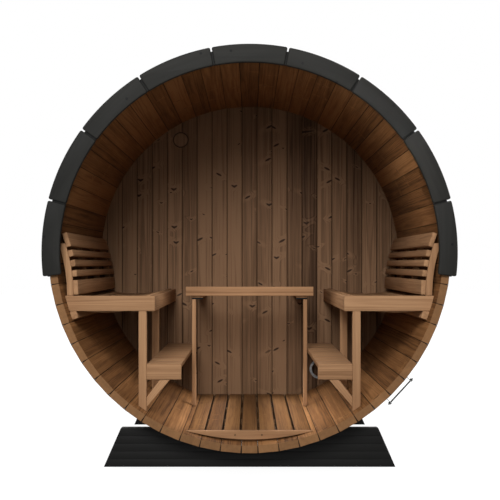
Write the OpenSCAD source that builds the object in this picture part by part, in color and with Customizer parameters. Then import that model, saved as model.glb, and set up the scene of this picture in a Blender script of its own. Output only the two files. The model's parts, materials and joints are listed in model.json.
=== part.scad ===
// Barrel sauna, open at the front: a stave barrel on two saddle cradles, with a grooved-in
// back wall, a felt roof covering with curved edge boards, steel hoops, and inside it two
// benches with footrests and backrests, a duckboard floor and a heater guard frame.
// Millimetres, +Z up, the barrel's axis along Y, the open front towards -Y.

/* [Barrel] */
// Radius over the outer corners of the staves
barrel_r = 1030; // [960:5:1100]
// Thickness of the staves
stave_t = 40; // [32:1:50]
// Length of the staves
barrel_len = 1760; // [1700:10:2200]
// Number of equal staves round the barrel, beside the closing stave
stave_count = 59; // [59]
// Angle that the narrow closing stave at the bottom takes up
closing_deg = 4.8; // [4:0.1:6]
// Chamfer along the edges of a stave
stave_chamfer = 1.5; // [0.5:0.5:3]
// Height of the barrel's underside over the ground
clear_h = 100; // [80:5:140]

/* [Back wall] */
// Distance from the rear end of the staves to the back wall's outer face
wall_inset = 95; // [70:5:140]
// Thickness of the back wall's boards
wall_t = 40; // [28:1:50]
// Cover width of one board
board_w = 100; // [90:1:110]
// Chamfer along a board's joint edges
board_chamfer = 4; // [1:0.5:6]
// Depth of the groove in the staves that holds the back wall
groove_d = 12; // [8:1:16]

/* [Vents] */
// Radius of the plugged upper vent
plug_r = 53; // [40:1:60]
// Sideways place of the upper vent to the left, as a share of the room's radius
plug_left = 0.4655; // [0.44:0.0005:0.49]
// Height of the upper vent over the axis, as a share of the room's radius
plug_up = 0.7771; // [0.7:0.0001:0.79]
// Chamfer round the rim of the plug
plug_chamfer = 4; // [2:0.5:6]
// Radius of the lower vent's open sleeve
sleeve_r = 50; // [40:1:55]
// Wall thickness of the sleeve
sleeve_t = 2; // [1.5:0.5:3]
// Width of the flange round the sleeve
flange_w = 13; // [8:1:16]
// Sideways place of the lower vent to the right, as a share of the room's radius
sleeve_right = 0.4715; // [0.455:0.0005:0.485]
// Depth of the lower vent under the axis, as a share of the room's radius
sleeve_down = 0.771; // [0.75:0.001:0.78]
// How far the lower vent's outside cover stands over its sleeve
cover_over = 24; // [18:1:28]
// Thickness of the cover
cover_t = 16; // [12:1:20]
// Gap for air between the back wall and the cover
cover_gap = 22; // [16:1:26]
// Width of the two blocks that hold the cover off the wall
cover_block_w = 14; // [10:1:16]
// Height of the blocks
cover_block_h = 44; // [30:1:50]

/* [Roof] */
// Thickness of the roof covering
roof_t = 10; // [6:1:14]
// Angle from the crown down to the roof's lower edge
roof_deg = 97; // [85:1:105]
// Number of edge boards on one end
fascia_count = 9; // [7:1:11]
// Thickness of the edge boards
fascia_t = 28; // [20:1:36]
// Width of the edge boards
fascia_w = 94; // [80:1:110]
// How far the edge boards stand over the staves
fascia_over = 30; // [20:1:50]
// Gap between two edge boards
fascia_gap = 8; // [3:1:14]
// Corner radius of an edge board
fascia_corner = 9; // [4:1:14]

/* [Hoops] */
// Distance from a stave end to the middle of the hoop
hoop_inset = 80; // [60:5:110]
// Width of the steel hoop
hoop_w = 26; // [20:1:34]
// Thickness of the steel hoop
hoop_t = 1.5; // [1:0.25:3]
// Angle from the bottom of the barrel to the tensioner, on the right
tension_deg = 47.3; // [30:0.1:60]
// Length of the tension rod
rod_len = 185; // [170:5:220]
// Diameter of the tension rod
rod_d = 8; // [6:0.5:10]
// Distance of the rod's axis from the hoop
rod_offset = 34; // [24:1:40]
// Distance between the hoop's bent ends
lug_span = 150; // [120:5:160]
// Thickness of a bent end
lug_t = 3; // [2:0.5:4]
// Width of a nut across its flats
nut_w = 14; // [12:1:18]
// Height of a nut
nut_h = 8; // [5:1:10]

/* [Cradles] */
// Width of a cradle on the ground
cradle_w = 1536; // [1400:10:1700]
// Width of a cradle at its top
cradle_top_w = 1356; // [1200:10:1380]
// Height of a cradle
cradle_h = 205; // [190:1:240]
// Thickness of a cradle along the barrel
cradle_t = 48; // [40:1:70]
// Distance from the front stave ends to the front cradle
cradle_front = 160; // [120:5:220]
// Distance from the rear stave ends to the rear cradle
cradle_rear = 109; // [105:1:160]
// Number of laminations in a cradle
lamination_count = 5; // [3:1:6]
// Width and depth of the scored line between two laminations
lamination_line = 2; // [1:0.5:3]
// Chamfer at a cradle's top corners
cradle_chamfer = 4; // [2:1:10]

/* [Benches] */
// Distance from the front stave ends to the benches
bench_front = 100; // [80:5:160]
// Depth of the bench's edge under the axis, as a share of the room's radius
bench_down = 0.2297; // [0.2:0.0001:0.25]
// Distance from the middle to the bench's edge, as a share of the room's radius
bench_out = 0.4989; // [0.49:0.0001:0.51]
// Height of the boards round the bench
rim_h = 80; // [70:1:90]
// Thickness of the boards round the bench
rim_t = 28; // [22:1:32]
// Radius of the dished underside of the bearers
dish_r = 880; // [800:10:1000]
// Distance from the middle to the lowest line of the dish, as a share of the room's radius
dish_out = 0.7731; // [0.764:0.0001:0.784]
// How far the bearers dip under the rim boards
dish_drop = 9; // [6:1:12]
// Depth of a bearer
bearer_d = 35; // [30:1:38]
// Thickness of a bearer
bearer_t = 28; // [20:1:36]
// Thickness of the seat slats
seat_slat_t = 24; // [18:1:26]
// Width of a seat slat
seat_slat_w = 78; // [70:1:80]
// Gap between seat slats
seat_slat_gap = 7; // [4:1:8]
// Size of the wall ledger along the staves
ledger_w = 46; // [36:1:56]
// Size of the wall ledger away from the staves
ledger_t = 34; // [24:1:40]
// Drop from the rim board's underside to the middle of the ledger
ledger_drop = 19; // [14:1:24]

/* [Posts and footrests] */
// Width of a post
post_w = 42; // [36:1:50]
// Depth of a post along the barrel
post_d = 42; // [36:1:50]
// Distance from the middle to a post's inner face, as a share of the room's radius
post_out = 0.5434; // [0.536:0.0001:0.556]
// Distance from the bench's front to the middle post
post_mid = 735; // [600:5:800]
// Depth of the footrest's top under the axis, as a share of the room's radius
foot_down = 0.5889; // [0.56:0.0001:0.61]
// Distance from the middle to the footrest's edge, as a share of the room's radius
foot_out = 0.3602; // [0.354:0.0001:0.39]
// Height of the boards round the footrest
foot_h = 82; // [70:1:90]
// Thickness of the footrest's frame boards
foot_t = 28; // [20:1:32]
// Distance from the footrest's edge to the long rail under it
foot_rail_in = 104; // [100:1:118]
// Distance from the footrest's rear end to the back wall
foot_rear = 110; // [60:5:140]
// Thickness of the footrest's cross boards
tread_t = 24; // [18:1:28]
// Width of the footrest's cross boards
tread_w = 136; // [90:1:150]
// Gap between the footrest's cross boards
tread_gap = 3; // [2:1:6]
// Place of the brace's lower corner on the post, as a share of the post below the footrest
brace_from = 0.137; // [0.1:0.001:0.2]
// Place of the brace's upper corner on the post, as a share of the post below the footrest
brace_to = 0.45; // [0.4:0.01:0.55]
// Reach of the brace's upper edge from the post
brace_in = 70; // [60:1:80]
// Reach of the brace's lower edge from the post
brace_out = 123; // [110:1:135]
// Thickness of the brace
brace_t = 28; // [20:1:34]

/* [Backrests] */
// Radius of the backrest's front curve
back_r = 880; // [800:5:1000]
// Room between the staves and the backrest's upper edge
back_clear = 4; // [2:1:12]
// Height of the backrest's foot over the bench's edge
back_rise = 6; // [3:1:10]
// Thickness of the backrest slats
back_slat_t = 25; // [18:1:28]
// Width of the wide slats at the top and bottom
back_wide = 76; // [64:1:80]
// Width of the narrow slats
back_narrow = 34; // [30:1:38]
// Gap between backrest slats
back_gap = 20; // [14:1:22]
// Number of narrow slats
back_count = 3; // [2:1:3]
// How far the uprights reach behind the upper slat
upright_lap = 14; // [8:1:30]
// Width of an upright behind the slats
upright_w = 34; // [26:1:36]
// Thickness of an upright along the barrel
upright_t = 28; // [20:1:34]
// Number of uprights behind one backrest
upright_count = 4; // [3:1:5]
// Distance from the backrest's rear end to the back wall
back_rear = 60; // [30:5:120]

/* [Duckboard] */
// Depth of the duckboard's top under the axis, as a share of the room's radius
duck_down = 0.941; // [0.938:0.001:0.948]
// Distance from the staves to the duckboard's outer slats
duck_margin = 12; // [10:0.5:18]
// Number of slats
duck_count = 7; // [7]
// Gap between slats
duck_gap = 7; // [5:1:10]
// Thickness of the slats
duck_slat_t = 22; // [18:1:24]
// Height of the front bearer
duck_front_h = 46; // [40:1:50]
// Thickness of the bearers along the barrel
duck_bearer_t = 30; // [24:1:40]
// Number of bearers under the slats
duck_bearers = 4; // [3:1:6]

/* [Heater guard] */
// Distance from the back wall to the guard's front board
guard_d = 615; // [500:5:700]
// How far the front board reaches past a leg
guard_over = 37; // [25:1:50]
// Height of the front board's upper edge over the bench's edge
guard_rise = 28; // [10:1:50]
// Height of the front board
guard_h = 56; // [50:1:60]
// Thickness of the front board
guard_t = 22; // [16:1:28]
// Gap between a leg and the footrest beside it
guard_leg_gap = 4; // [2:1:10]
// Width of a leg
guard_leg_w = 24; // [20:1:30]
// Depth of a leg along the barrel
guard_leg_d = 45; // [36:1:60]
// Width of a side rail
guard_rail_w = 67; // [50:1:80]
// Thickness of a side rail
guard_rail_t = 32; // [24:1:40]
// How far a side rail's underside lies below the front board
guard_rail_drop = 12; // [8:1:14]
// Thickness of the bracket between rail and leg
guard_bracket_t = 9; // [6:1:12]

/* [Fits] */
// Clearance between pieces that seat on one another
fit = 0.3; // [0.2:0.1:0.5]
// Seam between boards laid side by side
seam = 0.4; // [0.3:0.1:1]

/* [Hidden] */
$fn = 180;
axis_z = clear_h + barrel_r;
front_y = -barrel_len / 2;
rear_y = barrel_len / 2;

stave_deg = (360 - closing_deg) / stave_count;
// Distance from the axis to the flat inner face of an equal stave
stave_in = barrel_r * cos(stave_deg / 2) - stave_t;
// Largest radius that clears every stave's inner face
room_r = stave_in - fit;
groove_r = stave_in + groove_d;
// Distance from the middle to the staves at the height z
function wall_x(z) = sqrt(pow(room_r, 2) - pow(z - axis_z, 2));
// Height of the staves at the distance x from the middle, on the lower side
function wall_low(x) = axis_z - sqrt(pow(room_r, 2) - pow(x, 2));

wall_y0 = rear_y - wall_inset - wall_t;
wall_y1 = rear_y - wall_inset;
wall_r = groove_r - fit;
// Number of the last board on each side of the middle board
board_last = ceil((wall_r - board_w / 2) / board_w);
plug_x = plug_left * room_r;
plug_z = axis_z + plug_up * room_r;
sleeve_x = sleeve_right * room_r;
sleeve_z = axis_z - sleeve_down * room_r;
sleeve_out_r = sleeve_r + sleeve_t;
sleeve_hole_r = sleeve_out_r + fit;
cover_r = sleeve_out_r + cover_over;
cover_block_y = wall_y1 + fit;
cover_y = cover_block_y + cover_gap + fit;

hoop_in_r = barrel_r + fit;
hoop_out_r = hoop_in_r + hoop_t;
roof_in_r = barrel_r + fit;
roof_out_r = roof_in_r + roof_t;
rod_r = hoop_out_r + rod_offset;
rod_hole_d = rod_d + 2 * fit;
fascia_out_r = barrel_r + fascia_over;
fascia_in_r = fascia_out_r - fascia_w;

bench_y0 = front_y + bench_front;
bench_y1 = wall_y0 - fit;
bench_z = axis_z - bench_down * room_r;
bench_x = bench_out * room_r;
dish_x = dish_out * room_r;
rim_low = bench_z - rim_h;
dish_z = rim_low - dish_drop + dish_r;
seat_bed_r = dish_r - bearer_d;
seat_slat_r = seat_bed_r - fit;
seat_pitch_deg = 2 * atan((seat_slat_w + seat_slat_gap) / 2 / (seat_slat_r - seat_slat_t));
// Turn of the first seat slat, which lies against the rim board
seat_first_deg = -asin((dish_x - bench_x - rim_t - fit) / (seat_slat_r - seat_slat_t))
    + seat_pitch_deg / 2;
// As many seat slats as fit between the rim board and the staves
seat_slat_count = floor((wall_x(bench_z) - bench_x - rim_t) / (seat_slat_w + seat_slat_gap));
mid_post_y = bench_y0 + post_mid;
post_x = post_out * room_r;
post_out_x = post_x + post_w;
rim_y1 = bench_y0 + rim_t;
bearer_ys = [rim_y1 + fit, mid_post_y + (post_d - bearer_t) / 2, bench_y1 - bearer_t];
// Height of the bearers' dished underside
function dish_low(x) = dish_z - sqrt(pow(dish_r, 2) - pow(x - dish_x, 2));
post_top = dish_low(post_out_x) - fit;
ledger_deg = asin((axis_z - rim_low + ledger_drop) / (room_r - ledger_t / 2));
ledger_top = min(rim_low, dish_low((room_r - ledger_t) * cos(ledger_deg))) - fit;

foot_x = foot_out * room_r;
foot_out_x = post_x - fit;
foot_z = axis_z - foot_down * room_r;
foot_low = foot_z - foot_h;
brace_low = wall_low(post_x) + brace_from * (foot_low - wall_low(post_x));
brace_high = wall_low(post_x) + brace_to * (foot_low - wall_low(post_x));
foot_bed_z = foot_z - tread_t - fit;
foot_y0 = bench_y0 + foot_t + fit;
foot_y1 = bench_y1 - foot_rear;
foot_rail_x = foot_x + foot_rail_in;
tread_len = foot_y1 - foot_y0;
tread_count = floor((tread_len + tread_gap) / (tread_w + tread_gap));
tread_pitch = (tread_len + tread_gap) / tread_count;

back_z = bench_z + back_rise;
back_bed_r = back_r - back_slat_t - fit;
back_widths = [for (i = [0 : back_count + 1]) i == 0 || i > back_count ? back_wide : back_narrow];
back_y1 = bench_y1 - back_rear;
// Length along the front curve from the foot to the middle of slat i
function back_at(i) = i == 0 ? back_wide / 2
    : back_at(i - 1) + (back_widths[i - 1] + back_widths[i]) / 2 + back_gap;
function back_turn(i) = back_at(i) / back_r * 180 / PI;
upright_top_deg = back_turn(back_count + 1) + (upright_lap - back_wide / 2) / back_r * 180 / PI;
back_top_deg = back_turn(back_count + 1) + back_wide / 2 / back_r * 180 / PI;
back_top_z = back_z + back_r * sin(back_top_deg);
// Centre of the backrest's curve, which leaves room for the upper edge
back_cx = wall_x(back_top_z) - back_clear + (back_r - back_slat_t) * cos(back_top_deg);

duck_z = axis_z - duck_down * room_r;
duck_edge_x = wall_x(duck_z);
duck_x = duck_edge_x - duck_margin;
duck_pitch = (2 * duck_x + duck_gap) / duck_count;
duck_bed_z = duck_z - duck_slat_t - fit;
duck_y0 = bench_y0 + duck_bearer_t + fit;
duck_front_r = (pow(duck_edge_x, 2) + pow(duck_front_h, 2)) / (2 * duck_front_h);

guard_y0 = wall_y0 - guard_d;
guard_y1 = guard_y0 + guard_t + fit;
guard_leg_x = foot_x - guard_leg_gap;
guard_x = guard_leg_x + guard_over;
guard_z = bench_z + guard_rise;
guard_rail_z = guard_z - guard_h - guard_rail_drop;
guard_bracket_z = guard_rail_z - fit - guard_bracket_t;

wood = "#8a6848";
end_wood = "#a07a56";
wall_wood = "#6f533c";
black = "#2b2b29";
felt = "#3a3a3a";
steel = "#b8b8b6";

// Placing

// Stands an outline drawn in X and Z up and runs it from y0 to y1
module run_y(y0, y1) {
    translate([0, y1, 0])
        rotate([90, 0, 0])
            linear_extrude(y1 - y0)
                children();
}

// Turns a shape made round +Z so that it lies round the barrel's axis
module on_axis(y = 0) {
    translate([0, y, axis_z])
        rotate([90, 0, 0])
            children();
}

// Mirrors what is drawn on the right to the left side
module on_side(side) {
    if (side < 0)
        mirror([1, 0, 0])
            children();
    else
        children();
}

// The open section inside the staves
module room() {
    translate([0, axis_z])
        circle(r = room_r);
}

// A rectangle from one corner to the other, in X and Z
module rect(x0, x1, z0, z1) {
    translate([x0, z0])
        square([x1 - x0, z1 - z0]);
}

// Barrel

// Half width of a stave at the distance h from the axis
function stave_half(h, half_deg) = h * tan(half_deg) - seam / 2 / cos(half_deg);

// Section of a stave at the bottom of the barrel, with its outer corners on the barrel's radius
module stave_section(half_deg) {
    h_out = barrel_r * cos(half_deg);
    h_in = h_out - stave_t;
    c = stave_chamfer;
    right = [
        [stave_half(h_out, half_deg) - c, -h_out],
        [stave_half(h_out - c, half_deg), c - h_out],
        [stave_half(h_in + c, half_deg), -h_in - c],
        [stave_half(h_in, half_deg) - c, -h_in]
    ];
    left = [for (i = [3 : -1 : 0]) [-right[i][0], right[i][1]]];
    polygon(concat(right, left));
}

// Angle of stave i from the bottom, towards the right; stave 0 is the closing stave
function stave_at(i) = i == 0 ? 0 : closing_deg / 2 + stave_deg * (i - 0.5);

module staves(first, last) {
    color(wood)
        for (i = [first : last])
            let (k = (i + stave_count + 1) % (stave_count + 1))
                difference() {
                    run_y(front_y, rear_y)
                        translate([0, axis_z])
                            rotate(stave_at(k))
                                stave_section((k == 0 ? closing_deg : stave_deg) / 2);
                    on_axis(wall_y1 + fit)
                        cylinder(r = groove_r, h = wall_t + 2 * fit);
                }
}

// Back wall

// Section of one board in X and Y
module board_section() {
    half_w = (board_w - seam) / 2;
    half_t = wall_t / 2;
    c = board_chamfer;
    polygon([
        [c - half_w, -half_t], [half_w - c, -half_t], [half_w, c - half_t], [half_w, half_t - c],
        [half_w - c, half_t], [c - half_w, half_t], [-half_w, half_t - c], [-half_w, c - half_t]
    ]);
}

module vent_hole(x, z, r) {
    translate([x, wall_y1 + fit, z])
        rotate([90, 0, 0])
            cylinder(r = r, h = wall_t + 2 * fit);
}

// Boards numbered from the middle of the wall, to the right
module back_boards(first, last) {
    color(wall_wood)
        for (i = [first : last])
            difference() {
                intersection() {
                    translate([i * board_w, (wall_y0 + wall_y1) / 2, axis_z - barrel_r])
                        linear_extrude(2 * barrel_r)
                            board_section();
                    on_axis(wall_y1)
                        cylinder(r = wall_r, h = wall_t);
                }
                vent_hole(-plug_x, plug_z, plug_r);
                vent_hole(sleeve_x, sleeve_z, sleeve_hole_r);
            }
}

module upper_vent_plug() {
    r = plug_r - fit;
    color(wall_wood)
        translate([-plug_x, wall_y1, plug_z])
            rotate([90, 0, 0])
                rotate_extrude()
                    polygon([
                        [0, 0], [r, 0], [r, wall_t - plug_chamfer], [r - plug_chamfer, wall_t], [0, wall_t]
                    ]);
}

module lower_vent_sleeve() {
    lip = wall_t + fit;
    color(steel)
        translate([sleeve_x, wall_y1, sleeve_z])
            rotate([90, 0, 0])
                rotate_extrude()
                    polygon([
                        [sleeve_r, 0], [sleeve_out_r, 0], [sleeve_out_r, lip],
                        [sleeve_out_r + flange_w, lip], [sleeve_out_r + flange_w, lip + sleeve_t],
                        [sleeve_r, lip + sleeve_t]
                    ]);
}

// A round board outside, held off the wall by a block on each side of the sleeve
module lower_vent_cover() {
    color(wall_wood)
        translate([sleeve_x, 0, sleeve_z]) {
            for (side = [-1, 1])
                translate([
                    side * (sleeve_hole_r + cover_block_w / 2) - cover_block_w / 2,
                    cover_block_y,
                    -cover_block_h / 2
                ])
                    cube([cover_block_w, cover_gap, cover_block_h]);
            translate([0, cover_y + cover_t, 0])
                rotate([90, 0, 0])
                    cylinder(r = cover_r, h = cover_t);
        }
}

// Roof

// Section of the covering through one edge, with room under it for the two hoops
module roof_section() {
    half_l = barrel_len / 2;
    notch_mid = half_l - hoop_inset;
    notch_half = hoop_w / 2 + fit;
    notch_r = hoop_out_r + fit;
    upper = [
        [roof_in_r, notch_mid - notch_half], [notch_r, notch_mid - notch_half],
        [notch_r, notch_mid + notch_half], [roof_in_r, notch_mid + notch_half],
        [roof_in_r, half_l], [roof_out_r, half_l]
    ];
    lower = [for (i = [5 : -1 : 0]) [upper[i][0], -upper[i][1]]];
    polygon(concat(upper, lower));
}

// Three strips of covering, with a seam between two strips
module roof_covering() {
    strips = 3;
    strip_deg = 2 * roof_deg / strips;
    seam_deg = seam / roof_in_r * 180 / PI;
    color(felt)
        for (i = [0 : strips - 1])
            on_axis()
                rotate([0, 0, 90 - roof_deg + i * strip_deg + seam_deg / 2])
                    rotate_extrude(angle = strip_deg - seam_deg)
                        roof_section();
}

// A point on a circle round [0, 0], at an angle from the top
function polar(r, deg) = [r * sin(deg), r * cos(deg)];
function steps(from, to, count) = [for (i = [0 : count]) from + (to - from) * i / count];

// Outline of an edge board at the crown: two arcs between straight ends, with round corners
module edge_board_outline() {
    arc_steps = 12;
    corner_steps = 4;
    c = fascia_corner;
    half_deg = roof_deg / fascia_count - fascia_gap / 2 / fascia_out_r * 180 / PI;
    out_deg = half_deg - asin(c / (fascia_out_r - c));
    in_deg = half_deg - asin(c / (fascia_in_r + c));
    right = concat(
        [for (a = steps(0, out_deg, arc_steps)) polar(fascia_out_r, a)],
        [for (a = steps(out_deg, half_deg + 90, corner_steps))
            if (a > out_deg) polar(fascia_out_r - c, out_deg) + polar(c, a)],
        [for (a = steps(half_deg + 90, in_deg + 180, corner_steps))
            polar(fascia_in_r + c, in_deg) + polar(c, a)],
        [for (a = steps(in_deg, 0, arc_steps)) if (a < in_deg) polar(fascia_in_r, a)]
    );
    left = [for (i = [len(right) - 2 : -1 : 1]) [-right[i][0], right[i][1]]];
    polygon(concat(right, left));
}

module edge_boards(y0) {
    pitch_deg = 2 * roof_deg / fascia_count;
    color(black)
        for (i = [0 : fascia_count - 1])
            run_y(y0, y0 + fascia_t)
                translate([0, axis_z])
                    rotate(roof_deg - pitch_deg * (i + 0.5))
                        edge_board_outline();
}

// Hoops

// Places what is drawn with X along the rod, Y along the barrel and Z outwards
module at_tensioner(y) {
    translate([0, y, axis_z])
        rotate([0, 180 - tension_deg, 0])
            children();
}

module hoop(y) {
    open_deg = 2 * asin((lug_span / 2 - lug_t) / hoop_out_r);
    color(steel) {
        difference() {
            union() {
                on_axis(y + hoop_w / 2)
                    rotate([0, 0, tension_deg - 90 + open_deg / 2])
                        rotate_extrude(angle = 360 - open_deg)
                            translate([hoop_in_r, 0])
                                square([hoop_t, hoop_w]);
                for (side = [-1, 1])
                    at_tensioner(y)
                        hoop_lug(side);
            }
            at_tensioner(y)
                translate([-rod_len / 2, 0, rod_r])
                    rotate([0, 90, 0])
                        cylinder(d = rod_hole_d, h = rod_len);
        }
    }
}

// One end of the hoop, bent outwards, with its foot in the thickness of the hoop
module hoop_lug(side) {
    foot = sqrt(pow(hoop_in_r + hoop_t / 2, 2) - pow(lug_span / 2 + lug_t / 2, 2));
    head = rod_r + rod_hole_d / 2 + lug_t;
    x0 = side < 0 ? -lug_span / 2 - lug_t : lug_span / 2;
    translate([x0, -hoop_w / 2, foot])
        cube([lug_t, hoop_w, head - foot]);
}

module tensioner(y) {
    nut_x = lug_span / 2 + lug_t + fit;
    color(steel)
        at_tensioner(y)
            translate([0, 0, rod_r])
                rotate([0, 90, 0]) {
                    cylinder(d = rod_d, h = rod_len, center = true);
                    for (side = [-1, 1])
                        translate([0, 0, side < 0 ? -nut_x - nut_h : nut_x])
                            cylinder(d = nut_w / cos(30), h = nut_h, $fn = 6);
                }
}

// Cradles

module cradle_outline() {
    slope = (cradle_w - cradle_top_w) / 2 / cradle_h;
    c = cradle_chamfer;
    foot_x2 = cradle_w / 2;
    top_x = cradle_top_w / 2;
    difference() {
        polygon([
            [-foot_x2, 0], [foot_x2, 0], [top_x + slope * c, cradle_h - c], [top_x - c, cradle_h],
            [c - top_x, cradle_h], [-top_x - slope * c, cradle_h - c]
        ]);
        translate([0, axis_z])
            circle(r = barrel_r + fit);
    }
}

module cradle(y0) {
    pitch = cradle_h / lamination_count;
    color(black)
        difference() {
            run_y(y0, y0 + cradle_t)
                cradle_outline();
            for (i = [1 : lamination_count - 1])
                for (y = [y0, y0 + cradle_t])
                    translate([-cradle_w, y - lamination_line, i * pitch - lamination_line / 2])
                        cube([2 * cradle_w, 2 * lamination_line, lamination_line]);
        }
}

// Benches, drawn on the right

module bench_slats(side) {
    color(wood)
        on_side(side)
            run_y(rim_y1 + fit, bench_y1)
                for (i = [0 : seat_slat_count - 1])
                    translate([dish_x, dish_z])
                        rotate(seat_first_deg + i * seat_pitch_deg)
                            rect(-seat_slat_w / 2, seat_slat_w / 2, -seat_slat_r, seat_slat_t - seat_slat_r);
}

// Outline of a bearer: a dished strip from the rim board to the staves
module bearer_outline() {
    intersection() {
        difference() {
            translate([dish_x, dish_z])
                circle(r = dish_r);
            translate([dish_x, dish_z])
                circle(r = seat_bed_r);
        }
        rect(bench_x + rim_t + fit, barrel_r, rim_low - 2 * dish_drop, bench_z);
        room();
    }
}

module bench_frame(side) {
    color(end_wood)
        on_side(side) {
            run_y(bench_y0, rim_y1)
                intersection() {
                    rect(bench_x, barrel_r, rim_low, bench_z);
                    room();
                }
            run_y(rim_y1 + fit, bench_y1)
                rect(bench_x, bench_x + rim_t, rim_low, bench_z);
            for (y = bearer_ys)
                run_y(y, y + bearer_t)
                    bearer_outline();
        }
}

// Batten on the staves that carries the bench's wall side
module ledger(side) {
    color(end_wood)
        on_side(side)
            run_y(bench_y0, bench_y1)
                intersection() {
                    translate([0, axis_z])
                        rotate(-ledger_deg)
                            translate([room_r - ledger_t, -ledger_w / 2])
                                square([2 * ledger_t, ledger_w]);
                    rect(0, barrel_r, 0, ledger_top);
                    room();
                }
}

// Two posts on the staves, with a slanted brace from each to the footrest
module posts(side) {
    color(end_wood)
        on_side(side) {
            run_y(bench_y0, bench_y0 + post_d)
                intersection() {
                    rect(post_x, post_out_x, 0, rim_low - fit);
                    room();
                }
            run_y(mid_post_y, mid_post_y + post_d)
                intersection() {
                    rect(post_x, post_out_x, 0, post_top);
                    room();
                }
            for (y = [bench_y0, mid_post_y])
                run_y(y + (post_d - brace_t) / 2, y + (post_d + brace_t) / 2)
                    brace_outline();
        }
}

module brace_outline() {
    polygon([
        [foot_out_x, brace_low], [foot_out_x, brace_high],
        [foot_out_x - brace_in, foot_low - fit], [foot_out_x - brace_out, foot_low - fit]
    ]);
}

module footrest_boards(side) {
    color(wood)
        on_side(side)
            for (i = [0 : tread_count - 1])
                translate([foot_x, foot_y0 + i * tread_pitch, foot_z - tread_t])
                    cube([foot_out_x - foot_x, tread_pitch - tread_gap, tread_t]);
}

// Front board, two long rails and a block over the middle brace
module footrest_frame(side) {
    color(end_wood)
        on_side(side) {
            run_y(bench_y0, bench_y0 + foot_t)
                rect(foot_x, foot_out_x, foot_low, foot_z);
            for (x = [foot_rail_x, foot_out_x - foot_t])
                run_y(foot_y0, foot_y1)
                    rect(x, x + foot_t, foot_low, foot_bed_z);
            run_y(mid_post_y + (post_d - brace_t) / 2, mid_post_y + (post_d + brace_t) / 2)
                rect(foot_out_x - brace_out, foot_rail_x - fit, foot_low, foot_bed_z);
        }
}

// Backrests, drawn on the right

module backrest_slats(side) {
    color(wood)
        on_side(side)
            run_y(bench_y0, back_y1)
                for (i = [0 : back_count + 1])
                    translate([back_cx, back_z])
                        rotate(-back_turn(i))
                            rect(-back_r, back_slat_t - back_r, -back_widths[i] / 2, back_widths[i] / 2);
}

// Curved upright from the bench to the staves, behind the slats
module upright_outline() {
    intersection() {
        difference() {
            translate([back_cx, back_z])
                circle(r = back_bed_r);
            translate([back_cx, back_z])
                circle(r = back_bed_r - upright_w);
        }
        rect(0, barrel_r, bench_z + fit, back_z + back_r * sin(upright_top_deg));
        room();
    }
}

module backrest_uprights(side) {
    pitch = (back_y1 - bench_y0 - upright_t) / (upright_count - 1);
    color(end_wood)
        on_side(side)
            for (i = [0 : upright_count - 1])
                let (y = bench_y0 + i * pitch)
                    run_y(y, y + upright_t)
                        upright_outline();
}

// Duckboard

module duckboard_slats() {
    color(wood)
        run_y(duck_y0, bench_y1)
            intersection() {
                for (i = [0 : duck_count - 1])
                    let (x = i * duck_pitch - duck_x)
                        rect(x, x + duck_pitch - duck_gap, duck_z - duck_slat_t, duck_z);
                room();
            }
}

module duckboard_bearers() {
    pitch = (bench_y1 - duck_y0 - duck_bearer_t) / (duck_bearers - 1);
    color(end_wood) {
        run_y(bench_y0, bench_y0 + duck_bearer_t)
            intersection() {
                rect(-barrel_r, barrel_r, 0, duck_z);
                translate([0, duck_z - duck_front_h + duck_front_r])
                    circle(r = duck_front_r);
                room();
            }
        for (i = [0 : duck_bearers - 1])
            let (y = duck_y0 + i * pitch)
                run_y(y, y + duck_bearer_t)
                    intersection() {
                        rect(-barrel_r, barrel_r, 0, duck_bed_z);
                        room();
                    }
    }
}

// Heater guard

module guard_rails() {
    color(wood) {
        run_y(guard_y0, guard_y0 + guard_t)
            rect(-guard_x, guard_x, guard_z - guard_h, guard_z);
        for (side = [-1, 1])
            on_side(side)
                run_y(guard_y1, bench_y1)
                    rect(guard_leg_x - guard_rail_w, guard_leg_x, guard_rail_z, guard_rail_z + guard_rail_t);
    }
}

module guard_legs() {
    color(end_wood)
        for (side = [-1, 1])
            on_side(side)
                run_y(guard_y1, guard_y1 + guard_leg_d)
                    intersection() {
                        rect(guard_leg_x - guard_leg_w, guard_leg_x, 0, guard_bracket_z - fit);
                        room();
                    }
}

module guard_brackets() {
    color(black)
        for (side = [-1, 1])
            on_side(side)
                run_y(guard_y1, guard_y1 + guard_leg_d)
                    rect(guard_leg_x - guard_rail_w, guard_leg_x, guard_bracket_z, guard_rail_z - fit);
}

staves(-3, 3);  // floor_staves
staves(4, 11);  // lower_right_staves
staves(12, 18);  // right_staves
staves(19, 26);  // upper_right_staves
staves(27, 33);  // crown_staves
staves(34, 41);  // upper_left_staves
staves(42, 48);  // left_staves
staves(49, 56);  // lower_left_staves
back_boards(-board_last, -3);  // back_wall_left
back_boards(-2, 3);  // back_wall_centre
back_boards(4, 5);  // back_wall_vent_boards
back_boards(6, board_last);  // back_wall_right
upper_vent_plug();
lower_vent_sleeve();
lower_vent_cover();
roof_covering();
edge_boards(front_y - fit - fascia_t);  // front_edge_boards
edge_boards(rear_y + fit);  // rear_edge_boards
hoop(front_y + hoop_inset);  // front_hoop
hoop(rear_y - hoop_inset);  // rear_hoop
tensioner(front_y + hoop_inset);  // front_tensioner
tensioner(rear_y - hoop_inset);  // rear_tensioner
cradle(front_y + cradle_front);  // front_cradle
cradle(rear_y - cradle_rear - cradle_t);  // rear_cradle
bench_slats(-1);  // left_bench_slats
bench_frame(-1);  // left_bench_frame
ledger(-1);  // left_ledger
posts(-1);  // left_posts
footrest_boards(-1);  // left_footrest_boards
footrest_frame(-1);  // left_footrest_frame
backrest_slats(-1);  // left_backrest_slats
backrest_uprights(-1);  // left_backrest_uprights
bench_slats(1);  // right_bench_slats
bench_frame(1);  // right_bench_frame
ledger(1);  // right_ledger
posts(1);  // right_posts
footrest_boards(1);  // right_footrest_boards
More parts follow.
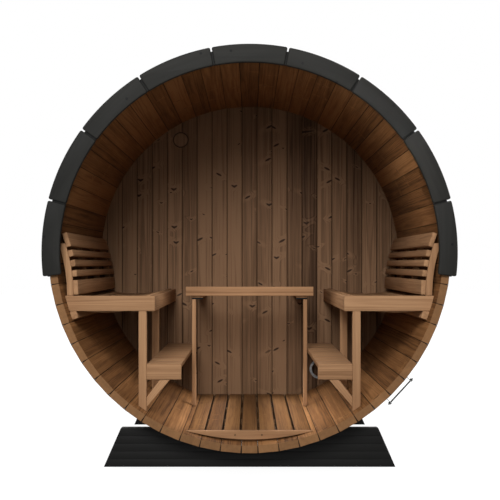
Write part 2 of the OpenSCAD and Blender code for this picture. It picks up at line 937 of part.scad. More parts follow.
footrest_frame(1);  // right_footrest_frame
backrest_slats(1);  // right_backrest_slats
backrest_uprights(1);  // right_backrest_uprights
duckboard_slats();
duckboard_bearers();
guard_rails();
guard_legs();
guard_brackets();
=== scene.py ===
# %% [markdown]
# # A barrel sauna, dressed in Blender
#
# The construction comes from CAD: staves, back wall, benches, cradles, hoops. This lesson gives
# every surface its finish and adds what a carpenter and a roofer add last: eased edges, shingles,
# screws. Everything is in metres, with the barrel lying along Y and its open front towards -Y.

# %% Load the frame
import bpy
import json
import math
import random
import numpy as np
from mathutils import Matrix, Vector


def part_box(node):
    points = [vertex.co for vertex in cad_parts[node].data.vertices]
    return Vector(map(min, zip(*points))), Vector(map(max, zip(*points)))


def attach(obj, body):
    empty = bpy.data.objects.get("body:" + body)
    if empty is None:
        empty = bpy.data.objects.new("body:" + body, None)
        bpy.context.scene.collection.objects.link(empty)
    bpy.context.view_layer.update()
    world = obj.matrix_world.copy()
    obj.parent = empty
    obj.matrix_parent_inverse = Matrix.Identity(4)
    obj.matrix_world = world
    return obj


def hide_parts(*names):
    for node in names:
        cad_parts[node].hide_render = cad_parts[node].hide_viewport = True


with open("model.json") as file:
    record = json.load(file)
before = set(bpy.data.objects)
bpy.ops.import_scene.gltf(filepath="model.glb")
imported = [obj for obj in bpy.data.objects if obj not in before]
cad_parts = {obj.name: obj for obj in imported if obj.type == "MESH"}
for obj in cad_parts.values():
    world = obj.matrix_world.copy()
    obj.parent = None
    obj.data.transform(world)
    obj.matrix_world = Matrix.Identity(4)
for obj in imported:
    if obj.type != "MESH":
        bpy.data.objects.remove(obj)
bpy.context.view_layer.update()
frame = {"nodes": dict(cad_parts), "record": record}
nodes = frame["nodes"]
slot_of = {part["node"]: part["material_slot"] for part in frame["record"]["subparts"]}
bpy.ops.object.select_all(action="DESELECT")
print("loaded", len(nodes), "nodes")

# %% [markdown]
# ## Camera
#
# The picture is a straight view into the barrel: level, on the middle line, at about eye height of
# someone sitting. A level camera keeps uprights upright, so the framing is done with lens shift.

# %% Set up the camera
IMAGE_PX = 500
SENSOR_MM = 36
FOCAL_PX = 1036.7
CAMERA_BACK = 5.3
CAMERA_HEIGHT = 1.067
# Where the lens axis meets the picture, in pixels from the upper left
AXIS_PX = (249.6, 264.3)

stave_low, stave_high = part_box("floor_staves")
camera_data = bpy.data.cameras.new("camera")
camera_data.sensor_width = SENSOR_MM
camera_data.lens = FOCAL_PX / IMAGE_PX * SENSOR_MM
camera_data.shift_x = 0.5 - AXIS_PX[0] / IMAGE_PX
camera_data.shift_y = AXIS_PX[1] / IMAGE_PX - 0.5
camera = bpy.data.objects.new("camera", camera_data)
camera.location = (0, stave_low.y - CAMERA_BACK, CAMERA_HEIGHT)
camera.rotation_euler = (math.radians(90), 0, 0)
bpy.context.scene.collection.objects.link(camera)
bpy.context.scene.camera = camera
bpy.context.scene.view_settings.view_transform = "Standard"
print("camera lens", round(camera_data.lens, 1), "mm")

# %% [markdown]
# ## Writing shaders as sums
#
# A wire is one output of a node. Adding or multiplying wires adds Math nodes, so a mask reads like
# the formula that it is. Every other node comes from one method, which sets the node up and joins
# it.


# %% Wires and finishes
class Wire:
    """One output socket of a node, with arithmetic."""

    def __init__(self, finish, socket):
        self.finish = finish
        self.socket = socket

    def maths(self, operation, *others):
        inputs = dict(enumerate((self, *others)))
        return self.finish.node("ShaderNodeMath", {"operation": operation}, inputs)

    def __add__(self, other):
        return self.maths("ADD", other)

    def __sub__(self, other):
        return self.maths("SUBTRACT", other)

    def __mul__(self, other):
        return self.maths("MULTIPLY", other)

    def __truediv__(self, other):
        return self.maths("DIVIDE", other)

    def __pow__(self, other):
        return self.maths("POWER", other)

    def step(self, low, high, out_low=0.0, out_high=1.0):
        """Runs smoothly from out_low to out_high as the wire goes from low to high."""
        settings = {"interpolation_type": "SMOOTHSTEP"}
        inputs = {
            "Value": self,
            "From Min": low,
            "From Max": high,
            "To Min": out_low,
            "To Max": out_high,
        }
        return self.finish.node("ShaderNodeMapRange", settings, inputs)


class Finish:
    """A material whose nodes are added by method calls."""

    def __init__(self, name, **shader_values):
        self.material = bpy.data.materials.new(name)
        self.material.use_nodes = True
        self.tree = self.material.node_tree
        self.shader = self.tree.nodes["Principled BSDF"]
        self.set(**shader_values)

    def node(self, kind, settings=None, inputs=None, output=0):
        made = self.tree.nodes.new(kind)
        for name, value in (settings or {}).items():
            setattr(made, name, value)
        for name, value in (inputs or {}).items():
            self.join(value, made.inputs[name])
        return Wire(self, made.outputs[output])

    def join(self, value, socket):
        if isinstance(value, Wire):
            self.tree.links.new(value.socket, socket)
        else:
            socket.default_value = value

    def set(self, **shader_values):
        for name, value in shader_values.items():
            label = name.replace("_", " ").title().replace("Ior", "IOR")
            self.join(value, self.shader.inputs[label])

    def attribute(self, name):
        return self.node("ShaderNodeAttribute", {"attribute_name": name}, output="Vector")

    def place(self):
        return self.node("ShaderNodeTexCoord", output="Object")

    def axes(self, vector):
        parts = self.node("ShaderNodeSeparateXYZ", inputs={"Vector": vector}).socket.node
        return [Wire(self, parts.outputs[axis]) for axis in "XYZ"]

    def vector(self, x, y, z):
        return self.node("ShaderNodeCombineXYZ", inputs={"X": x, "Y": y, "Z": z})

    def noise(self, vector, scale=1.0, detail=2.0, rough=0.5):
        inputs = {"Vector": vector, "Scale": scale, "Detail": detail, "Roughness": rough}
        return self.node("ShaderNodeTexNoise", inputs=inputs, output="Fac")

    def mix(self, factor, first, second):
        settings = {"data_type": "RGBA"}
        inputs = {0: factor, 6: first, 7: second}
        return self.node("ShaderNodeMix", settings, inputs, output=2)

    def bump(self, height, strength, distance):
        inputs = {"Height": height, "Strength": strength, "Distance": distance}
        self.set(normal=self.node("ShaderNodeBump", inputs=inputs))


def srgb(red, green, blue):
    """A colour as a picture shows it, 0 to 255, made linear for the shader."""
    def linear(value):
        value = value / 255
        return value / 12.92 if value <= 0.04045 else ((value + 0.055) / 1.055) ** 2.4
    return (linear(red), linear(green), linear(blue), 1.0)


print("shader helpers ready")

# %% [markdown]
# ## Browned softwood
#
# The sauna is built of softwood that was baked brown. Its look comes from growth rings: tubes round
# the middle of the log, cut lengthwise into boards, so faces show long streaks and ends show arcs.
# Each board carries its own coordinates in an attribute named grain: along, across and through the
# board, measured from the heart of its log. A second attribute, board, holds a tone and the place
# across and along. Branches leave knots: a cell pattern gives their places. A branch is cut at a
# slant, so its knot is a dark dash that leans to one side, or a pair of dashes like a V, with a
# paler swirl of grain round it.


# %% Where the knots are
KNOT_CELLS = 5.5
# Shape of a knot: how far it leans, and its length in widths
KNOT_LEAN = math.radians(28)
KNOT_STRETCH = 3.2
# Smallest half width of a knot, and how much it varies, in cells
KNOT_LEAST = 0.016
KNOT_RANGE = 0.026


def knots(wood, along, across, share):
    """Two masks: the dark core of the knots, and the swirl round them."""
    u = along * KNOT_CELLS
    v = across * KNOT_CELLS
    cells = wood.node("ShaderNodeTexVoronoi", {"voronoi_dimensions": "2D"},
                      {"Vector": wood.vector(u, v, 0.0), "Scale": 1.0})
    outputs = cells.socket.node.outputs
    chance, size, lean = wood.axes(Wire(wood, outputs["Color"]))
    centre_u, centre_v, _ = wood.axes(Wire(wood, outputs["Position"]))
    side = lean.step(0.27, 0.29, -1.0, 1.0)
    du = u - centre_u
    off = v - centre_v
    single = off * side
    paired = lean.step(0.54, 0.56)
    dv = single + (off.maths("ABSOLUTE") - single) * paired
    length = du * math.sin(KNOT_LEAN) + dv * math.cos(KNOT_LEAN)
    width = du * math.cos(KNOT_LEAN) - dv * math.sin(KNOT_LEAN)
    present = chance.step(1 - share - 0.01, 1 - share + 0.01)
    radius = size * KNOT_RANGE + KNOT_LEAST
    stretched = length / KNOT_STRETCH
    reach = (width * width + stretched * stretched).maths("SQRT") / radius
    core = reach.step(0.7, 1.25, 1.0, 0.0) * present
    swirl = reach.step(1.0, 5.0, 1.0, 0.0) * present
    return core, swirl


# %% The wood finish
RING_PITCH = 0.0045
KNOT_TONE = srgb(34, 20, 13)
# Colour of the painted shadow in the joints between boards
JOINT_SHADOW_TONE = srgb(16, 9, 6)
# Colour of the painted shadow in the gap round the vent plug
PLUG_GAP_SHADOW_TONE = srgb(22, 13, 8)


def wood_finish(
    name, pale, middle, dark, joint_shade=0.0, joint_at=0.93, tone_spread=0.5, knot_share=0.0,
    end_tone=None, gap_shadow_at=None
):
    """Browned wood. The last argument gives the middle and radius of a ring of painted shadow round
    a plug in a hole.
    """
    wood = Finish(name, specular_ior_level=0.1)
    along, across, through = wood.axes(wood.attribute("grain"))
    tone, edge, end = wood.axes(wood.attribute("board"))
    core, swirl = knots(wood, along, across, knot_share)

    # Growth rings, swerving round the knots and wandering along the board
    wander = wood.noise(wood.vector(along * 0.8, across * 7.0, through * 7.0))
    radius = (across * across + through * through).maths("SQRT")
    radius = radius + (wander - 0.5) * 0.014 + swirl * 0.006
    ring = (radius * (2 * math.pi / RING_PITCH)).maths("SINE") * 0.5 + 0.5
    late_wood = ring ** 2.2
    fibre = wood.noise(wood.vector(along * 5.0, across * 260.0, through * 260.0), detail=3.0)
    lengthwise = wood.vector(along * 0.9, across * 42.0, through * 42.0)
    streak = wood.noise(lengthwise, detail=4.0, rough=0.68)
    cloud = wood.noise(wood.vector(along * 3.0, across * 9.0, through * 9.0))

    shade = late_wood * 0.25 + fibre * 0.4 + streak * 1.5 + cloud * 0.3 - 0.78
    shade = shade + (tone - 0.5) * tone_spread - swirl * 0.25
    face = wood.mix(shade.step(0.0, 0.5), pale, middle)
    face = wood.mix(shade.step(0.4, 1.0), face, dark)
    face = wood.mix(core * 0.9, face, KNOT_TONE)
    if end_tone:
        at_end = end.maths("ABSOLUTE").step(0.9988, 0.9996) * 0.6
        face = wood.mix(at_end, face, end_tone)
    # Painted shade: a dark band along each board's long edges stands for the shadow in the joint
    # between boards
    if joint_shade:
        at_joint_shadow = edge.maths("ABSOLUTE").step(joint_at, joint_at + 0.03) * joint_shade
        face = wood.mix(at_joint_shadow, face, JOINT_SHADOW_TONE)
    # Painted shadow: a dark ring at the plug's rim stands for the shade in the gap round it
    if gap_shadow_at:
        middle_x, middle_z, ring_radius = gap_shadow_at
        x, _, z = wood.axes(wood.place())
        off_x = x - middle_x
        off_z = z - middle_z
        from_middle = (off_x * off_x + off_z * off_z).maths("SQRT")
        at_gap_shadow = from_middle.step(ring_radius - 0.012, ring_radius - 0.004) * 0.8
        face = wood.mix(at_gap_shadow, face, PLUG_GAP_SHADOW_TONE)
    wood.set(base_color=face, roughness=fibre * 0.2 + 0.6 - core * 0.1)
    wood.bump(late_wood * 0.4 + fibre * 0.6 - core * 0.3, 0.25, 0.0012)
    return wood.material


END_TONE = srgb(132, 98, 67)
# A stave is narrower inside than outside, so its inner edge lies at this share of its half width
STAVE_JOINT = 0.912
stave_wood = wood_finish(
    "stave_wood", srgb(150, 106, 66), srgb(122, 83, 49), srgb(78, 50, 28),
    joint_shade=0.95, joint_at=STAVE_JOINT, tone_spread=0.55, knot_share=0.15, end_tone=END_TONE
)
WALL_TONES = srgb(128, 98, 73), srgb(103, 77, 56), srgb(63, 44, 30)
wall_wood = wood_finish("wall_wood", *WALL_TONES, joint_shade=0.55, tone_spread=0.8, knot_share=0.6)
bench_wood = wood_finish(
    "bench_wood", srgb(174, 134, 98), srgb(156, 118, 85), srgb(120, 86, 59), tone_spread=0.3
)
# The duckboard is made of the bench wood; its darker tones are painted shade
duckboard_shaded_wood = wood_finish(
    "duckboard_shaded_wood", srgb(120, 84, 50), srgb(100, 68, 40), srgb(66, 41, 23),
    joint_shade=0.9, joint_at=0.905, knot_share=0.3
)
# The vent plug's wood gets a ring of painted shadow at its rim, for the shade in its gap
plug_low, plug_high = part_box("upper_vent_plug")
plug_middle = (plug_low + plug_high) / 2
plug_gap_shadow = plug_middle.x, plug_middle.z, (plug_high.x - plug_low.x) / 2
plug_wood = wood_finish("plug_wood", *WALL_TONES, gap_shadow_at=plug_gap_shadow)
cover_wood = wood_finish("cover_wood", *WALL_TONES)
woods = stave_wood, wall_wood, bench_wood, duckboard_shaded_wood, plug_wood, cover_wood
print("wood finishes:", *(wood.name for wood in woods))

# %% [markdown]
# ## Dark stain
#
# The curved edge boards and the cradles are stained nearly black. The stain still lets the grain
# through, and it is thinner and paler in streaks along the boards.


# %% The stain finish
def stain_finish(name, colour, thin):
    """Dark stain over grain, paler where it is thin."""
    stain = Finish(name, specular_ior_level=0.12)
    along, across, through = stain.axes(stain.attribute("grain"))
    tone, _, _ = stain.axes(stain.attribute("board"))
    fibre = stain.noise(stain.vector(along * 4.0, across * 220.0, through * 220.0), detail=3.0)
    streak = stain.noise(stain.vector(along * 1.5, across * 40.0, through * 40.0), detail=3.0)
    cells = {"voronoi_dimensions": "2D"}
    spots = stain.vector(along * 7.0, across * 7.0, 0.0)
    knot = stain.node("ShaderNodeTexVoronoi", cells, {"Vector": spots, "Scale": 1.0})
    chance, _, _ = stain.axes(Wire(stain, knot.socket.node.outputs["Color"]))
    core = knot.step(0.035, 0.06, 1.0, 0.0) * chance.step(0.55, 0.57)
    worn = fibre * 0.5 + streak * 0.8 + tone * 0.3 - 0.45
    face = stain.mix(worn.step(0.0, 0.8), colour, thin)
    face = stain.mix(core, face, srgb(5, 5, 5))
    stain.set(base_color=face, roughness=fibre * 0.2 + 0.5)
    stain.bump(fibre * 0.7 + streak * 0.3 - core * 0.4, 0.3, 0.001)
    return stain.material


edge_stain = stain_finish("edge_stain", srgb(21, 21, 19), srgb(36, 35, 32))
cradle_stain = stain_finish("cradle_stain", srgb(7, 7, 6), srgb(14, 13, 12))
print("stain finishes:", edge_stain.name, cradle_stain.name)

# %% [markdown]
# ## Easing the edges of the boards
#
# A planed board has its sharp edges taken off. The CAD solids have sharp edges, so each node is
# copied, its loose triangles are merged into clean faces, and a bevel eases every edge. The copy
# then stands for the node. Each board in it gets the two attributes that the wood finish reads.


# %% Find the boards in a mesh
def board_labels(mesh):
    """A number for every vertex, the same for all vertices of one board."""
    edges = np.empty(len(mesh.edges) * 2, np.int64)
    mesh.edges.foreach_get("vertices", edges)
    first, second = edges.reshape(-1, 2).T
    labels = np.arange(len(mesh.vertices))
    while True:
        lowest = np.minimum(labels[first], labels[second])
        np.minimum.at(labels, first, lowest)
        np.minimum.at(labels, second, lowest)
        if np.array_equal(labels[first], labels[second]):
            return labels


# A board leaning less than this is taken as straight
STRAIGHT_TURN = math.radians(12)


def board_axes(points):
    """The directions along, across and through a board, from how its corners spread."""
    _, _, rows = np.linalg.svd(points, full_matrices=False)
    along = rows[0]
    straight = np.abs(along).argmax()
    if np.abs(along[straight]) > math.cos(STRAIGHT_TURN):
        along = np.eye(3)[straight]
    flat = points - np.outer(points @ along, along)
    _, _, rows = np.linalg.svd(flat, full_matrices=False)
    return np.array([along, rows[0], np.cross(along, rows[0])])


def give_grain(piece, seed, upright=False):
    """Writes the attributes grain and board, board by board."""
    draw = random.Random(seed)
    mesh = piece.data
    places = np.empty(len(mesh.vertices) * 3)
    mesh.vertices.foreach_get("co", places)
    places = places.reshape(-1, 3)
    labels = board_labels(mesh)
    grain = np.empty_like(places)
    board = np.empty_like(places)
    for label in np.unique(labels):
        mine = labels == label
        points = places[mine] - (places[mine].min(0) + places[mine].max(0)) / 2
        axes = np.eye(3)[[2, 0, 1]] if upright else board_axes(points)
        local = points @ axes.T
        half = np.abs(local).max(0)
        side = draw.choice((-1, 1))
        heart = (draw.uniform(0, 30), draw.uniform(-0.05, 0.05), side * draw.uniform(0.05, 0.16))
        grain[mine] = local + heart
        board[mine, 0] = draw.random()
        board[mine, 1] = local[:, 1] / half[1]
        board[mine, 2] = local[:, 0] / half[0]
    for name, values in (("grain", grain), ("board", board)):
        layer = mesh.attributes.new(name, "FLOAT_VECTOR", "POINT")
        layer.data.foreach_set("vector", values.ravel())
    return len(np.unique(labels))


# %% Copy a node and ease its edges
def only(piece):
    """Selects one piece and makes it active."""
    bpy.ops.object.select_all(action="DESELECT")
    piece.select_set(True)
    bpy.context.view_layer.objects.active = piece


def apply_modifier(piece, kind, **settings):
    only(piece)
    modifier = piece.modifiers.new(kind.title(), kind)
    for name, value in settings.items():
        setattr(modifier, name, value)
    bpy.ops.object.modifier_apply(modifier=modifier.name)


MERGE_GAP = 0.00001
FLAT_TURN = math.radians(0.3)
EASED_FROM = math.radians(35)
SMOOTH_TO = math.radians(30)


def eased_copy(node_name, width, segments):
    """A copy of a CAD node, merged and with its edges eased."""
    node = nodes[node_name]
    piece = bpy.data.objects.new(node_name + "_eased", node.data.copy())
    bpy.context.scene.collection.objects.link(piece)
    only(piece)
    bpy.ops.object.mode_set(mode="EDIT")
    bpy.ops.mesh.select_all(action="SELECT")
    bpy.ops.mesh.remove_doubles(threshold=MERGE_GAP)
    bpy.ops.mesh.dissolve_limited(angle_limit=FLAT_TURN)
    bpy.ops.object.mode_set(mode="OBJECT")
    apply_modifier(
        piece, "BEVEL", width=width, segments=segments, limit_method="ANGLE",
        angle_limit=EASED_FROM, harden_normals=False
    )
    only(piece)
    bpy.ops.object.shade_smooth_by_angle(angle=SMOOTH_TO)
    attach(piece, "root")
    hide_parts(node_name)
    return piece


def paint(piece, material):
    piece.data.materials.clear()
    piece.data.materials.append(material)


def dress_boards(names, material, width, segments=2, upright=False):
    """Eased copies of the nodes, with their grain and one finish."""
    count = 0
    for name in names:
        piece = eased_copy(name, width, segments)
        count += give_grain(piece, name, upright)
        paint(piece, material)
    print(material.name, "on", count, "boards in", len(names), "nodes")


# %% Dress the boards
stave_nodes = [name for name in nodes if name.endswith("_staves")]
wall_nodes = [name for name in nodes if name.startswith("back_wall")]
edge_nodes = ["front_edge_boards", "rear_edge_boards"]
cradle_nodes = ["front_cradle", "rear_cradle"]
floor_nodes = ["duckboard_slats"]
bench_nodes = [
    name for name in nodes if slot_of[name] == "bench_wood" and name not in floor_nodes
]

dress_boards(stave_nodes, stave_wood, 0.0012)
dress_boards(wall_nodes, wall_wood, 0.001)
dress_boards(["upper_vent_plug"], plug_wood, 0.001, upright=True)
dress_boards(["lower_vent_cover"], cover_wood, 0.002, upright=True)
dress_boards(bench_nodes, bench_wood, 0.003)
dress_boards(floor_nodes, duckboard_shaded_wood, 0.002)
dress_boards(edge_nodes, edge_stain, 0.006, segments=3)
dress_boards(cradle_nodes, cradle_stain, 0.002)

# %% [markdown]
# ## Steel and felt
#
# The hoops and the vent's sleeve are zinc-coated steel: pale, a little mottled and not very glossy.
# The hoops' threaded rods are darker. The brackets of the heater guard are painted black. The roof
# covering is gritty felt.


# %% The steel finishes
def zinc_finish(name, colour, spangle):
    zinc = Finish(name, metallic=0.85)
    mottle = zinc.noise(zinc.place(), 90.0, 3.0)
    face = zinc.mix(mottle.step(0.3, 0.7), colour, spangle)
    zinc.set(base_color=face, roughness=mottle * 0.25 + 0.3)
    zinc.bump(mottle, 0.08, 0.0005)
    return zinc.material


def paint_finish(name, colour):
    coat = Finish(name, specular_ior_level=0.05)
    grain = coat.noise(coat.place(), 400.0, 2.0)
    coat.set(base_color=coat.mix(grain, colour, srgb(34, 33, 32)), roughness=grain * 0.2 + 0.6)
    coat.bump(grain, 0.1, 0.0004)
    return coat.material


zinc = zinc_finish("zinc_steel", srgb(146, 147, 147), srgb(118, 119, 119))
black_paint = paint_finish("black_paint", srgb(20, 20, 20))
dark_zinc = zinc_finish("dark_zinc_steel", srgb(74, 74, 71), srgb(52, 52, 50))
for name in ("front_hoop", "rear_hoop", "lower_vent_sleeve"):
    paint(nodes[name], zinc)
for name in ("front_tensioner", "rear_tensioner"):
    paint(nodes[name], dark_zinc)
paint(nodes["guard_brackets"], black_paint)
print("steel on the hoops, rods and vent")


# %% The felt finish
def felt_finish(name, colour, pale):
    felt = Finish(name, specular_ior_level=0.2)
    tone, _, _ = felt.axes(felt.attribute("board"))
    grit = felt.noise(felt.place(), 700.0, 2.0)
    patch = felt.noise(felt.place(), 6.0, 3.0)
    face = felt.mix(grit.step(0.35, 0.75), colour, pale)
    face = felt.mix(patch.step(0.3, 0.8) * 0.35 + tone * 0.4, face, srgb(30, 30, 30))
    felt.set(base_color=face, roughness=grit * 0.2 + 0.75)
    felt.bump(grit, 0.5, 0.001)
    return felt.material


felt = felt_finish("roof_felt", srgb(44, 44, 44), srgb(70, 70, 69))
paint(nodes["roof_covering"], felt)
print("felt on the roof")

# %% [markdown]
# ## Shingles
#
# The roof is covered with bitumen shingles in courses, from the eaves up to the crown. One tab is
# modelled: a cube, cut across so that it can bend. Every tab of the roof is a copy whose points are
# wrapped round the barrel, with its lower edge lifted over the course below. Caps over the crown
# are the same tab, turned.

# %% Model one tab
THICK = 0.0025
LIFT = 0.0005
TAB_RISE = 0.004
EXPOSED_DEG = 8.0
LAP_DEG = 3.0
TAB_WIDTH = 0.33
TAB_GAP = 0.005
EAVES_DEG = 96.5
COURSES = 12
RAKE = 0.012
LEAST_TAB = 0.02

hoop_low, hoop_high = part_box("front_hoop")
AXIS_HEIGHT = (hoop_low.z + hoop_high.z) / 2
roof_low, roof_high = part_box("roof_covering")
ROOF_R = roof_high.z - AXIS_HEIGHT

bpy.ops.object.select_all(action="DESELECT")
bpy.ops.mesh.primitive_cube_add(size=1, location=(0.5, 0.5, 0.5))
tab = bpy.context.object
bpy.ops.object.transform_apply(location=True)
bpy.ops.object.mode_set(mode="EDIT")
for cut in (0.25, 0.5, 0.75):
    bpy.ops.mesh.select_all(action="SELECT")
    bpy.ops.mesh.bisect(plane_co=(cut, 0, 0), plane_no=(1, 0, 0))
bpy.ops.object.mode_set(mode="OBJECT")
print("one tab with", len(tab.data.polygons), "faces on a roof of radius", round(ROOF_R, 4))


# %% Lay the courses and the caps
def lay_tab(angles, ys, lifts, slope_y=0.0):
    """A copy of the tab, wrapped on the roof: lifts at two edges, slope_y along the barrel."""
    mesh = tab.data.copy()
    for vertex in mesh.vertices:
        turn, along, up = vertex.co
        angle = math.radians(angles[0] + turn * (angles[1] - angles[0]))
        radius = ROOF_R + lifts[0] + turn * (lifts[1] - lifts[0]) + along * slope_y + up * THICK
        y = ys[0] + along * (ys[1] - ys[0])
        vertex.co = (radius * math.sin(angle), y, AXIS_HEIGHT + radius * math.cos(angle))
    laid = bpy.data.objects.new("tab", mesh)
    bpy.context.scene.collection.objects.link(laid)
    return laid


tabs = []
roof_y = roof_low.y + RAKE, roof_high.y - RAKE
for course in range(COURSES):
    low_deg = EAVES_DEG - course * EXPOSED_DEG
    high_deg = low_deg - EXPOSED_DEG - LAP_DEG
    starts = np.arange(roof_y[0] - TAB_WIDTH * (course % 2) / 2, roof_y[1], TAB_WIDTH)
    for start in starts:
        ys = max(start, roof_y[0]), min(start + TAB_WIDTH - TAB_GAP, roof_y[1])
        if ys[1] - ys[0] > LEAST_TAB:
            for side in (-1, 1):
                angles = side * high_deg, side * low_deg
                tabs.append(lay_tab(angles, ys, (LIFT, LIFT + TAB_RISE)))

CAP_DEG = 9.5
CAP_STEP = 0.16
CAP_LENGTH = 0.21
cap_lift = LIFT + TAB_RISE + THICK
for start in np.arange(roof_y[0], roof_y[1], CAP_STEP):
    ys = min(start + CAP_LENGTH, roof_y[1]), start
    tabs.append(lay_tab((-CAP_DEG, CAP_DEG), ys, (cap_lift, cap_lift), TAB_RISE))


def join_pieces(pieces, name):
    """Joins copies into one piece of the roof, wall or floor, with its faces outwards."""
    bpy.ops.object.select_all(action="DESELECT")
    for piece in pieces:
        piece.select_set(True)
    bpy.context.view_layer.objects.active = pieces[0]
    if len(pieces) > 1:
        bpy.ops.object.join()
    joined = bpy.context.view_layer.objects.active
    joined.name = name
    bpy.ops.object.mode_set(mode="EDIT")
    bpy.ops.mesh.select_all(action="SELECT")
    bpy.ops.mesh.normals_make_consistent(inside=False)
    bpy.ops.object.mode_set(mode="OBJECT")
    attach(joined, "root")
    return joined


shingles = join_pieces(tabs, "roof_shingles")
apply_modifier(
    shingles, "BEVEL", width=0.0006, segments=1, limit_method="ANGLE", angle_limit=math.radians(50)
)
give_grain(shingles, "roof_shingles")
paint(shingles, felt)
bpy.data.objects.remove(tab)
print(len(tabs), "tabs,", len(shingles.data.polygons), "faces")

# %% [markdown]
# ## Tongues, strips of painted shade and screws
#
# The boards of the back wall hold together with tongues, which also keep daylight out of their
# joints. Behind each gap between two edge boards sits a dark strip of painted shade, which hides
# the lit ends of the staves so that the gap reads as shadow. Two screws hold the front bearer of
# the duckboard. Each is made from a primitive and shaped.


# %% Make the tongues
def bar(low, high, ease):
    """A straight bar between two corners, with eased edges."""
    bpy.ops.object.select_all(action="DESELECT")
    bpy.ops.mesh.primitive_cube_add(size=1)
    made = bpy.context.object
    made.scale = Vector(high) - Vector(low)
    made.location = (Vector(high) + Vector(low)) / 2
    bpy.ops.object.transform_apply(location=True, scale=True)
    apply_modifier(made, "BEVEL", width=ease, segments=2)
    return made


wall_low, wall_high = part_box("back_wall_centre")
wall_mid = (wall_low.y + wall_high.y) / 2
wall_radius = (wall_high.z - wall_low.z) / 2
BOARD_WIDTH = 0.1
TONGUE = (0.012, 0.010)
TONGUE_SHORT = 0.004
JOINTS_A_SIDE = 10
tongues = []
for joint in range(-JOINTS_A_SIDE, JOINTS_A_SIDE):
    x = (joint + 0.5) * BOARD_WIDTH
    reach = math.sqrt(wall_radius ** 2 - (abs(x) + TONGUE[0]) ** 2) - TONGUE_SHORT
    low = x - TONGUE[0] / 2, wall_mid - TONGUE[1] / 2, AXIS_HEIGHT - reach
    high = x + TONGUE[0] / 2, wall_mid + TONGUE[1] / 2, AXIS_HEIGHT + reach
    tongues.append(bar(low, high, 0.001))
wall_tongues = join_pieces(tongues, "wall_tongues")
give_grain(wall_tongues, "wall_tongues")
paint(wall_tongues, wall_wood)

# %% Make the strips of painted shade
EDGE_BOARDS = 9
EDGE_REACH_DEG = 97.0
STRIP_R = (0.968, 1.0385)
STRIP_HALF = 0.0039
STRIP_DEPTH = 0.019
STRIP_OFF = 0.0002
pitch_deg = 2 * EDGE_REACH_DEG / EDGE_BOARDS


def shade_strips(name, inner_y):
    """Dark strips of painted shade in all gaps of one end, from inner_y out to STRIP_DEPTH in front
    of the stave ends.
    """
    made = []
    outer_y = inner_y + STRIP_DEPTH * (1 if inner_y > 0 else -1)
    for gap in range(1, EDGE_BOARDS):
        angle = math.radians(gap * pitch_deg - EDGE_REACH_DEG)
        low = -STRIP_HALF, min(inner_y, outer_y), STRIP_R[0]
        high = STRIP_HALF, max(inner_y, outer_y), STRIP_R[1]
        strip = bar(low, high, 0.0008)
        strip.rotation_euler = (0, angle, 0)
        strip.location = (0, 0, AXIS_HEIGHT)
        only(strip)
        bpy.ops.object.transform_apply(location=True, rotation=True)
        made.append(strip)
    joined = join_pieces(made, name)
    give_grain(joined, name)
    paint(joined, cradle_stain)
    print(name, "fills", len(made), "gaps")


shade_strips("front_joint_strips", stave_low.y - STRIP_OFF)
shade_strips("rear_joint_strips", stave_high.y + STRIP_OFF)

# %% Drive the screws
SCREW_RADIUS = 0.0045
SCREW_LENGTH = 0.004
SCREW_PROUD = 0.001
SOCKET_DEPTH = 0.0015
SCREW_PLACES = ((-0.076, 0.178), (0.064, 0.178))

bearer_low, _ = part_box("duckboard_bearers")
screws = []
for x, z in SCREW_PLACES:
    bpy.ops.object.select_all(action="DESELECT")
    bpy.ops.mesh.primitive_cylinder_add(vertices=20, radius=SCREW_RADIUS, depth=SCREW_LENGTH)
    screw = bpy.context.object
    bpy.ops.object.mode_set(mode="EDIT")
    bpy.ops.mesh.select_all(action="DESELECT")
    bpy.ops.object.mode_set(mode="OBJECT")
    head = max(screw.data.polygons, key=lambda face: face.center.z)
    head.select = True
    bpy.ops.object.mode_set(mode="EDIT")
    bpy.ops.mesh.select_mode(type="FACE")
    bpy.ops.mesh.inset(thickness=SCREW_RADIUS * 0.45)
    bpy.ops.mesh.extrude_region_move(TRANSFORM_OT_translate={"value": (0, 0, -SOCKET_DEPTH)})
    bpy.ops.object.mode_set(mode="OBJECT")
    screw.rotation_euler = (math.radians(90), 0, 0)
    screw.location = (x, bearer_low.y + SCREW_LENGTH / 2 - SCREW_PROUD, z)
    bpy.ops.object.transform_apply(location=True, rotation=True)
    screws.append(screw)
bearer_screws = join_pieces(screws, "bearer_screws")
apply_modifier(bearer_screws, "BEVEL", width=0.0003, segments=2, limit_method="ANGLE")
paint(bearer_screws, black_paint)
print(len(screws), "screws in the duckboard")

# %% [markdown]
# ## Lamps
#
# A studio picture of a hollow thing: a large soft lamp in front and above lights the floor and the
# lower back wall, while the crown inside stays dark, because it looks down and away. A weaker lamp
# under it fills the front, a narrow one from the left reaches the right inner wall, and one lamp at
# each side, set back, lights the outside without shining in. A weak lamp in the aisle looks down on
# the footrests, and two long ones light the floor under them.


# %% Set up the lamps
def area_lamp(name, place, aim, size, power, height=None, spread_deg=180):
    """A round lamp, or a long one where a height is given."""
    data = bpy.data.lights.new(name, "AREA")
    data.shape = "RECTANGLE" if height else "DISK"
    data.size = size
    data.size_y = height or size
    data.energy = power
    data.spread = math.radians(spread_deg)
    lamp = bpy.data.objects.new(name, data)
    lamp.location = place
    lamp.visible_camera = False
    lamp.rotation_euler = (Vector(aim) - Vector(place)).to_track_quat("-Z", "Y").to_euler()
    bpy.context.scene.collection.objects.link(lamp)
    print(name, "at", place, "with", power, "W")


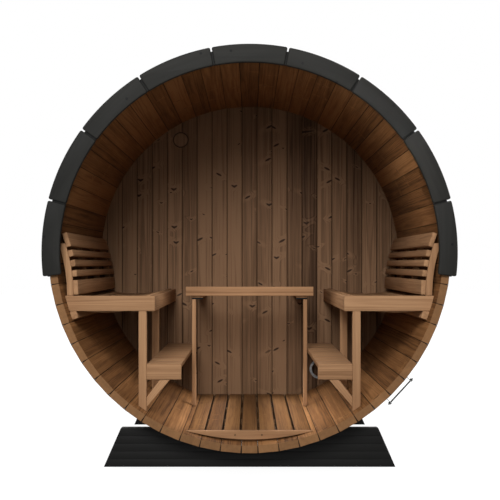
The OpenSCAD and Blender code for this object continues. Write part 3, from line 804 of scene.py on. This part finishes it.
MIDDLE = (0, 0, 1.1)
area_lamp("key_lamp", (-0.8, -7.2, 4.3), MIDDLE, 3.0, 480)
area_lamp("fill_lamp", (-0.3, -7.0, 2.1), MIDDLE, 2.5, 55)
area_lamp("wall_lamp", (-2.6, -5.6, 2.2), (0.95, -0.35, 1.62), 0.4, 0.7, spread_deg=9)
area_lamp("aisle_lamp", (0, -0.45, 1.05), (0, -0.45, 0), 0.8, 2.2)
SIDES = ((-1, "left"), (1, "right"))
for side, word in SIDES:
    place = side * 0.12, -0.1, 0.44
    aim = side * 0.36, -0.1, 0.14
    area_lamp(f"{word}_floor_lamp", place, aim, 1.3, 2.2, height=0.1, spread_deg=120)
for side, word in SIDES:
    area_lamp(f"{word}_lamp", (side * 5.5, 2.6, 3.6), MIDDLE, 3.0, 380)

# %% [markdown]
# ## Surround and floor
#
# The background is plain white. A white world would flood the barrel with light, so what the camera
# and the reflections see is white, and all other rays meet a dim surround. The floor does the same:
# it glows nearly white where it is seen, keeps the shadow under the cradles, and turns fully white
# further off.


# %% Set up the surround
class Surround(Finish):
    """The world's nodes, added by the same method calls as a material's."""

    def __init__(self, name):
        self.world = bpy.data.worlds.new(name)
        self.world.use_nodes = True
        self.tree = self.world.node_tree
        self.shader = self.tree.nodes["Background"]


def seen_directly(finish):
    """1 for what the camera, a reflection or glass looks at, 0 for other light."""
    ray = finish.node("ShaderNodeLightPath").socket.node
    camera_ray, glossy_ray, glass_ray = (
        Wire(finish, ray.outputs[f"Is {kind} Ray"]) for kind in ("Camera", "Glossy", "Transmission")
    )
    return camera_ray.maths("MAXIMUM", glossy_ray).maths("MAXIMUM", glass_ray)


AMBIENT = 0.045
surround = Surround("surround")
surround.set(color=(1, 1, 1, 1), strength=seen_directly(surround) * (1 - AMBIENT) + AMBIENT)
bpy.context.scene.world = surround.world
print("white surround, with", AMBIENT, "of it as light")

# %% Lay the floor
FLOOR_HALF = 30.0
SHADOW_REACH = (1.6, 3.4)
FLOOR_GLOW = 0.9

bpy.ops.object.select_all(action="DESELECT")
bpy.ops.mesh.primitive_plane_add(size=2 * FLOOR_HALF, location=(0, 0, 0))
floor = bpy.context.object
floor.name = "floor"

floor_paint = Finish("floor_paint", roughness=0.9, base_color=srgb(100, 100, 100))
from_middle = floor_paint.node(
    "ShaderNodeVectorMath", {"operation": "LENGTH"}, {0: floor_paint.place()}, output=1
)
glow = from_middle.step(*SHADOW_REACH, FLOOR_GLOW, 1.0)
white = floor_paint.node("ShaderNodeEmission", inputs={"Strength": glow})
lit = floor_paint.node("ShaderNodeAddShader", inputs={0: white})
floor_paint.tree.links.new(floor_paint.shader.outputs[0], lit.socket.node.inputs[1])
surface = floor_paint.node("ShaderNodeMixShader", inputs={0: seen_directly(floor_paint), 2: lit})
floor_paint.tree.links.new(floor_paint.shader.outputs[0], surface.socket.node.inputs[1])
output = floor_paint.tree.nodes["Material Output"]
floor_paint.tree.links.new(surface.socket, output.inputs["Surface"])
paint(floor, floor_paint.material)
print("floor of", 2 * FLOOR_HALF, "m")
